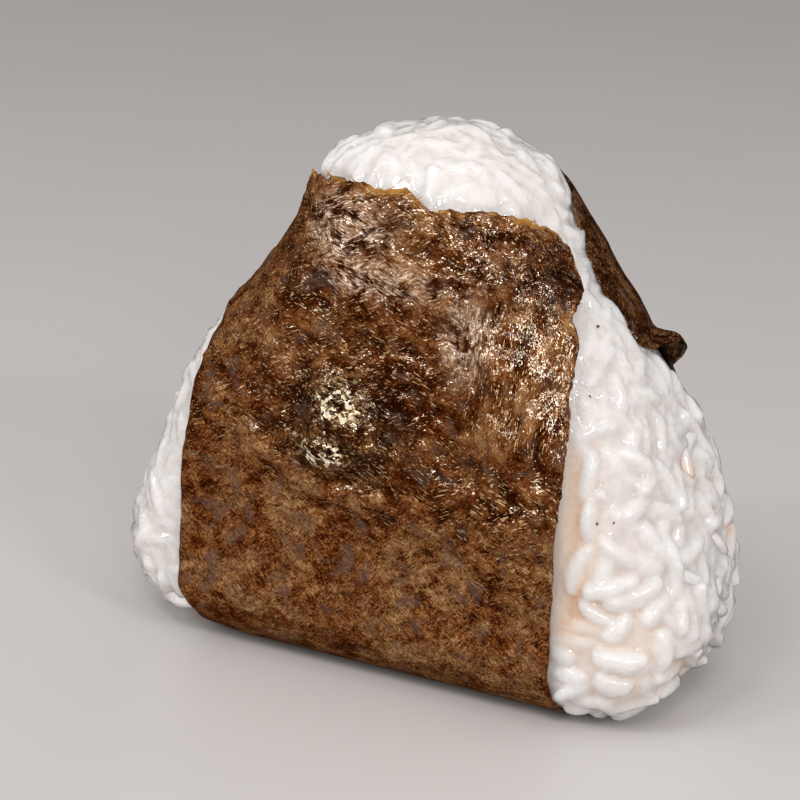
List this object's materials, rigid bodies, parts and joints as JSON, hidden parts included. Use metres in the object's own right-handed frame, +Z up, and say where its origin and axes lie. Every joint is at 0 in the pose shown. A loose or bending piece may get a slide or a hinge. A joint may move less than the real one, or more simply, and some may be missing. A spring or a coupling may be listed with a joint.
{
  "type": "onigiri rice ball",
  "caption": "Triangular hand-pressed rice ball standing on its base, wrapped front to back in one strip of dried seaweed that passes under the base.",
  "frame": {"origin": "on the floor under the middle of the whole part's box", "axes": "+X to the right along the base as seen from the front, which is the longest side; +Y from the front face to the back face, the thickness; +Z up to the apex"},
  "size_m": [0.0822, 0.0364, 0.0693],
  "materials": {
    "steamed_rice": "moist, slightly glossy translucent white grains pressed together",
    "dried_seaweed": "thin crumpled fibrous dark brown sheet with a sparkling moist sheen"
  },
  "bodies": {
    "root": {"rice_ball": "steamed_rice", "nori_wrap": "dried_seaweed"}
  },
  "joints": []
}
